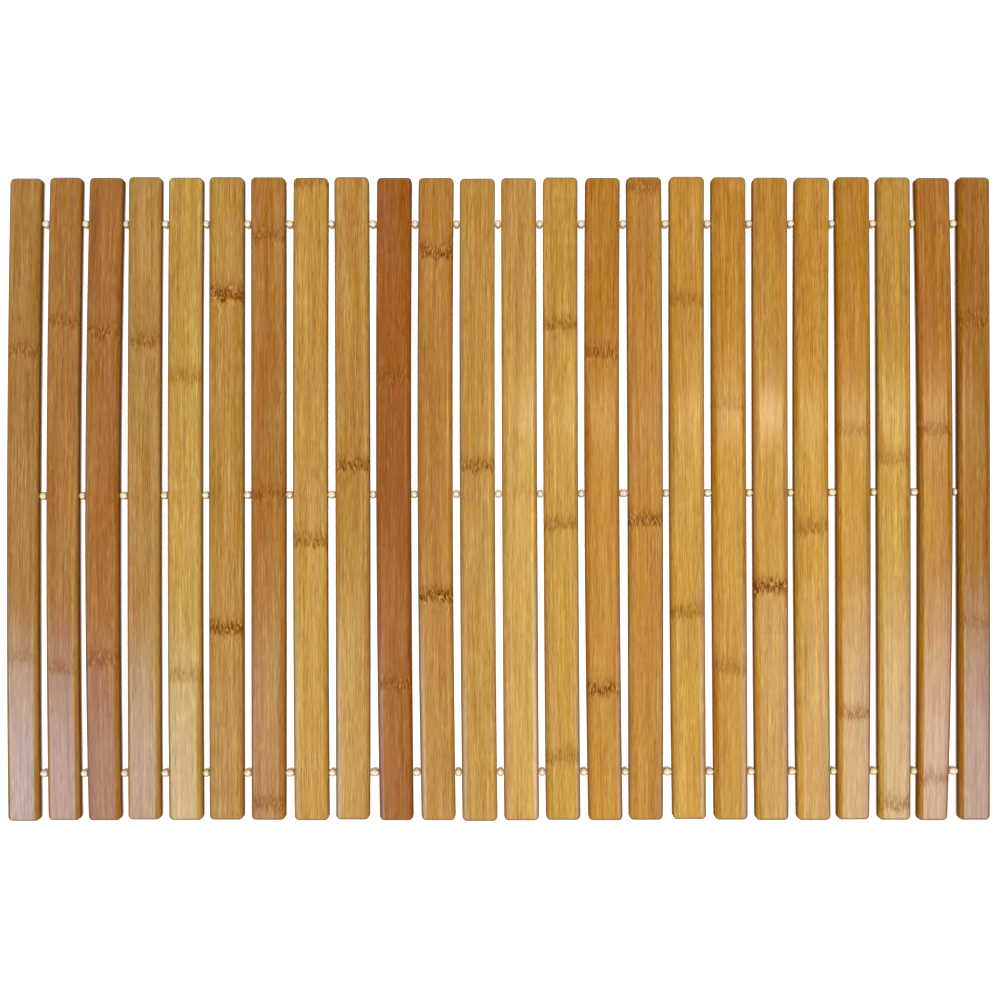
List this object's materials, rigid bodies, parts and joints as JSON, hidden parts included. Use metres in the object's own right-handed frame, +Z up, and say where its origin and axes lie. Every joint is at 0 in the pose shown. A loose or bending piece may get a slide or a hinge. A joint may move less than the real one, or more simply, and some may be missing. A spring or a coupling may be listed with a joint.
{
  "type": "bamboo slat mat",
  "caption": "Rectangular bath or table mat of flat lacquered bamboo slats laid side by side, threaded on cords with small spacer beads between the slats.",
  "frame": {"origin": "on the surface that the mat lies on, under the middle of the whole mat", "axes": "+X across the slats along the mat's long side, +Y along the slats towards the far ends, +Z up"},
  "size_m": [0.6104, 0.4002, 0.008],
  "materials": {
    "bamboo_olive": "satin",
    "bamboo_russet": "satin",
    "bamboo_tan": "satin",
    "bamboo_honey": "satin",
    "bamboo_golden": "satin",
    "bamboo_amber": "satin",
    "bamboo_chestnut": "satin",
    "ivory_bead": "satin",
    "cord": "matte"
  },
  "bodies": {
    "root": {"slat_01": "bamboo_olive", "slat_02": "bamboo_russet", "slat_03": "bamboo_russet", "slat_04": "bamboo_tan", "slat_05": "bamboo_honey", "slat_06": "bamboo_tan", "slat_07": "bamboo_russet", "slat_08": "bamboo_honey", "slat_09": "bamboo_tan", "slat_10": "bamboo_chestnut", "slat_11": "bamboo_golden", "slat_12": "bamboo_golden", "slat_13": "bamboo_honey", "slat_14": "bamboo_honey", "slat_15": "bamboo_amber", "slat_16": "bamboo_amber", "slat_17": "bamboo_golden", "slat_18": "bamboo_honey", "slat_19": "bamboo_golden", "slat_20": "bamboo_honey", "slat_21": "bamboo_amber", "slat_22": "bamboo_honey", "slat_23": "bamboo_amber", "slat_24": "bamboo_tan", "strand_far": "ivory_bead", "strand_middle": "ivory_bead", "strand_near": "ivory_bead"}
  },
  "joints": []
}
